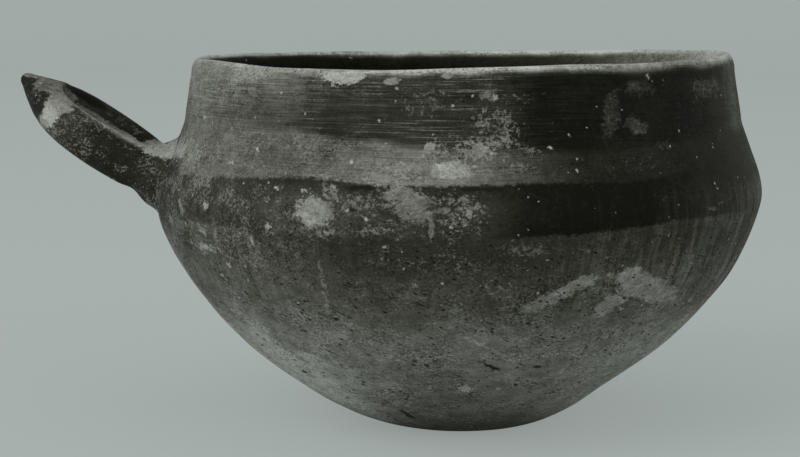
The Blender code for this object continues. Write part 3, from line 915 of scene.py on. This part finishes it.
# %% Marks
# They are sorted by the attribute that they raise, and run from the lip down, with the handle last. Each has
# column and row of its middle, half its width and height in pixels, how far it is turned clockwise in
# degrees, and in per cent how strong it is and how pale the clay in it is.
PHOTO_SIZE = (800, 457)
WORN = (
    (344, 77, 20, 8, 0, 100, 84), (256, 71, 16, 5, 8, 70, 70), (393, 81, 9, 4, -15, 95, 70),
    (446, 76, 5, 3, 0, 90, 62), (612, 69, 18, 3, -4, 60, 60), (458, 53, 9, 3, 0, 100, 80),
    (488, 96, 10, 8, 0, 80, 50), (480, 149, 12, 8, -30, 72, 68), (430, 148, 6, 6, 0, 75, 66),
    (611, 114, 9, 27, 6, 85, 17), (636, 126, 12, 9, 30, 80, 22), (640, 87, 15, 9, 0, 80, 14),
    (708, 88, 22, 12, 0, 66, 26), (452, 171, 22, 9, -3, 100, 78), (400, 168, 30, 8, 0, 55, 56),
    (382, 177, 11, 11, 0, 95, 62), (175, 149, 15, 10, 8, 90, 80), (314, 212, 21, 18, 0, 85, 68),
    (407, 202, 36, 20, 22, 75, 53), (421, 218, 14, 10, 0, 66, 48), (431, 226, 3, 17, 0, 80, 46),
    (466, 204, 12, 8, 20, 60, 50), (717, 206, 9, 2, -28, 90, 34), (206, 247, 7, 3, 0, 72, 90),
    (252, 240, 2.5, 10, -20, 72, 70), (645, 287, 34, 12, 16, 100, 62), (612, 302, 22, 8, -38, 90, 61),
    (634, 274, 14, 8, 0, 85, 58), (578, 286, 26, 7, -24, 85, 58), (545, 300, 22, 7, -28, 85, 58),
    (527, 308, 12, 7, 0, 70, 44), (456, 318, 14, 14, 0, 70, 42), (412, 296, 18, 9, 0, 65, 36),
    (292, 340, 32, 13, 34, 66, 60), (350, 358, 50, 13, 20, 60, 56), (461, 305, 2.5, 1.5, -20, 95, 90),
    (52, 108, 9, 26, 24, 95, 62), (64, 102, 11, 16, 40, 90, 62), (51, 115, 6, 8, 0, 100, 130),
    (49, 85, 15, 9, 16, 90, 42), (42, 79, 20, 3, 16, 60, 44), (35, 76, 16, 3, 14, 90, 50),
    (112, 127, 50, 3.4, 32, 85, 62), (162, 149, 23, 9, 8, 98, 88), (181, 208, 2, 10, -12, 85, 60),
    (171, 220, 2, 7, -20, 80, 56), (200, 228, 3, 14, -50, 70, 56)
)
FLAKES = (
    (425, 104, 40, 18, 0, 42, 44), (512, 100, 26, 10, 0, 45, 38), (496, 124, 34, 18, 8, 55, 52),
    (500, 142, 22, 10, 0, 62, 50), (452, 146, 24, 12, 10, 40, 56), (535, 152, 16, 6, 15, 50, 60),
    (476, 150, 28, 14, 0, 66, 64), (665, 144, 12, 8, 20, 45, 28), (690, 110, 26, 30, 0, 25, 20),
    (520, 168, 36, 12, 0, 42, 52), (630, 164, 66, 14, 0, 30, 30), (187, 152, 26, 20, 0, 56, 60),
    (200, 182, 16, 8, 0, 70, 60), (184, 140, 10, 15, 0, 62, 70), (330, 192, 10, 16, -30, 60, 56),
    (458, 212, 32, 26, 0, 54, 50), (325, 232, 14, 8, 0, 62, 56), (372, 230, 30, 8, 0, 50, 50),
    (358, 203, 22, 13, 0, 60, 46), (600, 186, 30, 5, 0, 30, 30), (665, 198, 14, 8, 20, 40, 20),
    (222, 238, 34, 20, 10, 40, 62), (206, 248, 12, 7, 10, 66, 85), (324, 290, 4, 32, -10, 62, 60),
    (327, 317, 12, 5, 10, 60, 60), (198, 236, 18, 22, 30, 42, 58), (592, 294, 22, 10, -20, 50, 46),
    (524, 250, 40, 12, 0, 52, 40), (590, 252, 26, 12, 0, 45, 40), (448, 264, 50, 18, 0, 42, 40),
    (380, 288, 44, 14, 0, 40, 42), (498, 292, 30, 16, 0, 48, 44), (325, 296, 20, 34, 20, 30, 44),
    (466, 389, 8, 4, 0, 75, 85), (508, 378, 8, 9, 0, 58, 70), (492, 350, 44, 2.6, 26, 75, 66),
    (122, 122, 34, 5, 31, 50, 36), (34, 94, 10, 12, 0, 45, 50), (122, 168, 12, 6, 30, 50, 60),
    (150, 182, 22, 14, 30, 28, 56)
)
# Dark stains; the last one is painted shade, on the back arm's inner face under the front arm
STAINS_AND_SHADE = (
    (362, 188, 15, 4, 0, 90, 0), (350, 209, 6, 2, 10, 95, 0), (388, 203, 10, 1.6, 26, 80, 0),
    (432, 209, 4, 2, 0, 90, 0), (480, 189, 22, 3, 0, 90, 0), (382, 218, 12, 2, 8, 80, 0),
    (300, 181, 22, 3, 0, 45, 0), (490, 366, 13, 2, 22, 95, 0), (414, 365, 4, 2, -25, 95, 0),
    (427, 366, 4, 2, 15, 95, 0), (336, 319, 6, 2, 20, 95, 0), (305, 372, 3, 1.4, 30, 95, 0),
    (407, 414, 10, 1.6, 30, 90, 0), (535, 366, 7, 1.6, 5, 90, 0), (88, 98, 26, 5, 33, 100, 0)
)
# White crumbs of lime: column and row
CRUMBS = (
    (257, 148), (232, 162), (292, 97), (305, 109), (338, 88), (347, 101), (380, 120), (351, 163),
    (276, 187), (366, 219), (326, 232), (474, 103), (549, 148), (569, 134), (577, 171), (205, 118),
    (430, 387), (303, 190), (222, 275)
)
WORN += tuple((column, row, 2.6, 2.1, -20, 85, 85) for column, row in CRUMBS)
MARKS = {"worn": WORN, "flake": FLAKES, "dark": STAINS_AND_SHADE}
MARK_EDGE = 1.5  # a mark fades from half its size to this share of it
MARK_SPREAD = 1.2  # share of its size over which its tone fades
FACING = 0.12  # a point that faces the lens at least so much takes a mark wholly


def seen_in_photo(points):
    """The column and row of each point in the photograph's frame."""
    local = (points - np.array(CAMERA_PLACE)) @ np.array(camera.rotation_euler.to_matrix())
    scale = PHOTO_SIZE[0] * LENS / camera.data.sensor_width / local[:, 2]
    return PHOTO_SIZE[0] / 2 - scale * local[:, 0], PHOTO_SIZE[1] / 2 + scale * local[:, 1]


def paint_marks(values, piece, outer):
    points = get_points(piece)
    normals = np.empty(len(points) * 3)
    piece.data.vertex_normals.foreach_get("vector", normals)
    towards = np.array(CAMERA_PLACE) - points
    towards /= lengths(towards)[:, None]
    shown = outer * ramp((normals.reshape(-1, 3) * towards).sum(axis=1), 0, FACING)
    column, row = seen_in_photo(points)
    weight = np.full(len(points), 0.02)
    level = weight * values["worn_tone"]
    for kind, marks in MARKS.items():
        for x, y, half_width, half_height, tilt, strength, tone in marks:
            c, s = math.cos(math.radians(tilt)), math.sin(math.radians(tilt))
            right, down = column - x, row - y
            reach = np.hypot((right * c + down * s) / half_width, (down * c - right * s) / half_height)
            there = strength / 100 * np.clip(MARK_EDGE - reach, 0, 1) * shown
            values[kind] = np.maximum(values[kind], there)
            near = strength / 100 * hump(reach, MARK_SPREAD) * (kind != "dark")
            weight = weight + near
            level = level + near * tone / 100
    values["worn_tone"] = level / weight


print({kind: len(marks) for kind, marks in MARKS.items()}, "marks")

# %% Tone of the handle
# Reach is millimetres from the wall along the middle line, and side runs from -1 under it to 1 on top.
HANDLE_TONE = {0: 10, 10: 8, 18: 8, 26: 12, 32: 20, 39: 26, 44: 14, 46: 7, 51.5: 6, 56: 12}
HANDLE_SPECKLE = {0: 85, 14: 85, 20: 80, 26: 105, 40: 105, 44: 60, 60: 50}
TOP_RUB = (0.75, 0.92)


def paint_handle(points):
    shares = spaced(0.0, 1.04, 105)
    line = np.array([list(spine_at(share)) for share in shares])
    apart = np.hypot(points[:, None, 0] - line[None, :, 0], points[:, None, 2] - line[None, :, 2])
    nearest = apart.argmin(axis=1)
    up = np.array([list(spine_up(share)) for share in shares])[nearest]
    side = ((points - line[nearest]) * up).sum(axis=1) / (ARM_HEIGHT[0] / 2)
    reach = np.array(shares)[nearest] * spine_length / MM
    values = dict.fromkeys(ATTRIBUTES, np.zeros(len(points)))
    far_side = ramp(points[:, 1], -2 * MM, 5 * MM)
    rub = ramp(side, *TOP_RUB) * (1 - 0.8 * far_side * ramp(reach, 8, 12))
    for name in ZONE_TONES:
        values[name] = mixed(rub, told(HANDLE_TONE, reach), 0.5)
    values["worn"] = 0.7 * ramp(side, TOP_RUB[0], 1) * ramp(reach, 6, 2)
    fading = 1 - 0.7 * ramp(points[:, 1], 0, 6 * MM)
    values["speckle"] = told(HANDLE_SPECKLE, reach) * (1 - 0.5 * rub) * fading
    values["worn_tone"] = np.full(len(points), 0.56)
    values["flake"] = np.full(len(points), 0.12)
    values["voids"] = np.full(len(points), 0.5)
    return values


# Dark smears round the roots under the handle, partly painted shade: middle, reach and tone
ROOT_SMEARS_AND_SHADE = (
    (Vector((-88, -27, 78)) * MM, 15 * MM, 0.15),
    (Vector((-94, 16, 74)) * MM, 12 * MM, 0.1),
)


def paint(piece, on_handle):
    """Shapes the round piece by hand and keeps its wear, and its painted light and shade, as attributes."""
    points = get_points(piece)
    angle, arc, proud = measure(points)
    set_points(piece, hand_shape(points))
    values = paint_wall(angle, arc, proud)
    if on_handle:
        handle = paint_handle(points)
        share = ramp(proud, 0.2 * MM, 6 * MM)
        values = {name: mixed(share, values[name], handle[name]) for name in ATTRIBUTES}
    outer = 1 - ramp(-proud, *INNER_DEPTH)
    # Smeared clay and painted shade round the handle's roots
    for middle, reach, tone in ROOT_SMEARS_AND_SHADE:
        share = outer * hump(lengths(points - np.array(middle)) ** 2, reach**2)
        for name in ZONE_TONES:
            values[name] = mixed(share, values[name], tone)
        values["speckle"] = np.maximum(values["speckle"], 0.62 * share)
    paint_marks(values, piece, outer)
    for name in ATTRIBUTES:
        attribute = piece.data.attributes.new(name, "FLOAT", "POINT")
        attribute.data.foreach_set("value", np.clip(values[name], 0, 1).astype(np.float32))

# %% [markdown]
# ## Burnished slip over coarse clay
# The clay is coarse, with plant and stone temper, under a thin slip of fine dark clay. Thick slip is dark and
# a little smoother. Where it is thin or gone the clay shows paler, with dark slits where plant fibres burnt
# out and white grains of lime.

# %% Arithmetic of the finish
clay, clay_output = bare_material("burnished dark slip on coarse earthenware")


def maths(operation, *values):
    """One step of arithmetic with numbers or outputs."""
    return add(clay, "Math", dict(enumerate(values)), operation=operation)


def scaled(value, factor, rest):
    """A value times a factor, plus the rest."""
    return maths("MULTIPLY_ADD", value, factor, rest)


def vectors(operation, *values):
    return add(clay, "VectorMath", dict(enumerate(values)), operation=operation)


def blend(share, here, there):
    """As mixed, but of outputs."""
    return add(clay, "Mix", {"Factor": share, 2: here, 3: there})


def past(value, low, high, most=1.0, least=0.0):
    """Runs from least where the value is low to most where it is high."""
    limits = {"Value": value, "From Min": low, "From Max": high, "To Min": least, "To Max": most}
    return add(clay, "MapRange", limits)


def pile(amounts, value):
    """Adds some waves to a value, each times its amount."""
    for name, amount in amounts.items():
        value = scaled(wave[name], amount, value)
    return value


def pattern(kind, output, vector, squeeze, size, **more):
    """A pattern whose cells are so many millimetres."""
    place = vectors("MULTIPLY", vector, squeeze)
    return add(clay, kind, {"Vector": place, "Scale": 1 / (size * MM)} | more, output)

# %% Coordinates and waves of the finish
SLANT = math.radians(-25)  # scratches and fibres run down to the right

mark = {name: add(clay, "Attribute", {}, "Fac", attribute_name=name) for name in ATTRIBUTES}
where = add(clay, "TexCoord", {}, "Object")
outwards = vectors("NORMALIZE", vectors("MULTIPLY", where, (1, 1, 0)))
ring = vectors("MULTIPLY", outwards, (BELLY_RADIUS,) * 3)
round_pot = vectors("ADD", ring, vectors("MULTIPLY", where, (0, 0, 1)))
slanted = add(clay, "VectorRotate", {"Vector": where, "Angle": SLANT}, rotation_type="Y_AXIS")

# Each wave runs from about -1 to 1: its coordinates, how they are squeezed, its size in mm, detail and
# roughness.
WAVES = {
    "cloud": (where, (1, 1, 1), 24, 2, 0.5),
    "smoothing": (where, (1, 1, 1.6), 11, 3, 0.6),
    "mottle": (where, (1, 1, 1.5), 5, 6, 0.75),
    "grain": (where, (1, 1, 1.6), 1.5, 3, 0.8),
    "grit": (where, (1, 1, 1.3), 0.6, 1, 0.5),
    "stroke": (round_pot, (1, 1, 40), 15, 1, 0.6),
    "swipe": (round_pot, (1, 1, 16), 20, 6, 0.8),
    "drip": (round_pot, (1, 1, 0.12), 2.4, 4, 0.65),
    "ragged": (where, (1, 1, 1.2), 4.5, 8, 0.78),
    "flaky": (where, (1, 1, 1.3), 1.9, 4, 0.75),
    "fleck": (where, (1, 1, 1.1), 0.8, 3, 0.75),
    "scratch": (slanted, (0.04, 0.04, 1), 0.7, 1, 0.4),
}

wave = {}
for name, (vector, squeeze, size, detail, roughness) in WAVES.items():
    value = pattern("TexNoise", 0, vector, squeeze, size, Detail=detail, Roughness=roughness)
    spread = {"Value": value, "From Min": 0.3, "From Max": 0.7, "To Min": -1}
    wave[name] = add(clay, "MapRange", spread, clamp=False)
print("waves:", ", ".join(wave))

# %% Zones and their variation
# The edges between zones are crisp, so they are found here and not at the mesh's points.
EDGE_WOBBLE = {"ragged": 0.08, "flaky": 0.06}
tone = mark["tone_under"]
for zone, edge in (("tone_band", "edge_band"), ("tone_upper", "edge_shoulder")):
    over = past(pile(EDGE_WOBBLE, mark[edge]), 0.45, 0.55)
    tone = blend(over, tone, mark[zone])

# Fine grain is weak where the clay was smoothed well.
FINE_AMOUNTS = {"grain": 0.11, "grit": 0.15, "fleck": 0.17}
AMOUNTS = {"cloud": 0.1, "mottle": 0.2}
LOCAL_AMOUNTS = {"stroke": ("strokes", 0.26), "swipe": ("strokes", 0.17), "drip": ("drips", 0.34)}
rough = past(wave["smoothing"], -0.7, 0.9, 2.1, 0.2)
rough = maths("MULTIPLY", rough, scaled(mark["voids"], 0.25, 0.65))
varied = maths("MULTIPLY", pile(FINE_AMOUNTS, 0.0), rough)
varied = pile(AMOUNTS, varied)
for name, (by, amount) in LOCAL_AMOUNTS.items():
    varied = scaled(wave[name], maths("MULTIPLY", mark[by], amount), varied)
tone = scaled(varied, maths("ADD", tone, 0.12), tone)

# %% Rubbed patches, flakes, stains with a painted shade, and speckle
# Each is an attribute plus waves; past a limit the slip is gone. Patches are large, flakes are a few
# millimetres and speckle is finer. A limit has the waves and their amounts, the two values between which the
# slip goes, the tone that is bared, and the most that shows of it.
pale = pile({"mottle": 0.14, "grain": 0.12, "grit": 0.06}, mark["worn_tone"])
LIMITS = {
    "strokes": ({"stroke": 0.45, "swipe": 0.25, "smoothing": 0.15, "flaky": 0.25}, 1.32, 1.55, 0.52, 0.7),
    "speckle": ({"fleck": 0.5, "mottle": 0.3, "smoothing": 0.2}, 1.0, 1.3, 0.58, 0.8),
    "worn": ({"ragged": 0.34, "flaky": 0.24, "fleck": 0.1}, 0.42, 0.6, pale, 0.92),
    "flake": ({"flaky": 0.34, "fleck": 0.24}, 0.46, 0.64, pale, 0.85),
    "dark": ({"ragged": 0.3, "flaky": 0.22}, 0.4, 0.8, 0.02, 0.9),
}
bare = {}
for name, (edges, low, high, there, share) in LIMITS.items():
    bare[name] = past(pile(edges, mark[name]), low, high, share)
    tone = blend(bare[name], tone, there)

# Dark flecks are where grains fell out.
tone = blend(past(wave["fleck"], -0.6, -1.1, 0.65), tone, 0.04)

# %% Fibre slits, pits and lime grains
# Each cell of a Voronoi pattern may hold one slit or grain. Its random number, times a factor and plus an
# offset, is the half width of that, so only the cells with a high number show any.
CELLS = {
    "long slits": (slanted, (0.36, 0.36, 2.4), 2.4, 0.75, -0.54, 0.02),
    "short slits": (slanted, (0.6, 0.6, 1.3), 1.6, 0.8, -0.51, 0.01),
    "pits": (where, (1, 1, 1.4), 2.2, 0.8, -0.56, 0.0),
    "large grains": (where, (1, 1, 1), 7.0, 0.8, -0.68, 0.82),
    "small grains": (where, (1, 1, 1), 2.6, 0.7, -0.54, 0.75),
}
VOIDS = ("long slits", "short slits", "pits")
holes = 0.0
for name, (vector, squeeze, size, factor, offset, there) in CELLS.items():
    distance = pattern("TexVoronoi", "Distance", vector, squeeze, size)
    chance = add(clay, "SeparateColor", {0: distance.node.outputs["Color"]})
    width = scaled(chance, factor, offset)
    if name in VOIDS:
        width = maths("MULTIPLY", width, mark["voids"])
    else:
        width = scaled(mark["speckle"], 0.09, width)
    width = pile({"fleck": 0.11}, width)
    shown = past(maths("SUBTRACT", width, distance), -0.02, 0.05, 0.85)
    tone = blend(shown, tone, there)
    if name in VOIDS:
        holes = maths("ADD", holes, shown)
scratched = maths("MULTIPLY", past(wave["scratch"], 1.15, 1.4, 0.4), mark["voids"])
tone = blend(scratched, tone, 0.05)

# %% Colour, gloss and relief
TONES = ("#090903", "#2d2d25", "#51514a", "#73746d", "#93958e", "#b2b4ad")
colour = add(clay, "ValToRGB", {"Fac": tone}, "Color")
stops = colour.node.color_ramp.elements
while len(stops) < len(TONES):
    stops.new(0.5)
for stop, position, hex_colour in zip(stops, (0, 0.2, 0.4, 0.6, 0.8, 1), TONES):
    stop.position = position
    stop.color = linear(hex_colour)

LOWERED = ((holes, 1.0), (scratched, 0.8), (bare["flake"], 0.4), (bare["worn"], 0.4), (bare["dark"], 0.7))
relief = pile({"mottle": 0.35, "grain": 0.22, "stroke": 0.12}, 0.0)
for lowered, amount in LOWERED:
    relief = scaled(lowered, -amount, relief)
bump = add(clay, "Bump", {"Height": relief, "Strength": 0.6, "Distance": 0.3 * MM})
gloss = past(tone, 0, 0.4, 0.9, 0.52)
body = {"Base Color": colour, "Roughness": gloss, "Normal": bump}
shader = add(clay, "BsdfPrincipled", body | {"Specular IOR Level": 0.05, "Sheen Weight": 0.02})
clay.node_tree.links.new(shader, clay_output.inputs["Surface"])
print("the clay's finish has", len(clay.node_tree.nodes), "nodes")

# %% [markdown]
# ## Putting it together
# Each piece rides on the pot's one body and stands for its CAD node.

for node, piece in pieces.items():
    paint(piece, node in CUTS)
    choose(piece)
    bpy.ops.object.shade_smooth_by_angle(angle=math.radians(40))
    piece.data.materials.clear()
    piece.data.materials.append(clay)
    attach(piece, "root")
    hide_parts(node)
print("finished", len(pieces), "pieces")
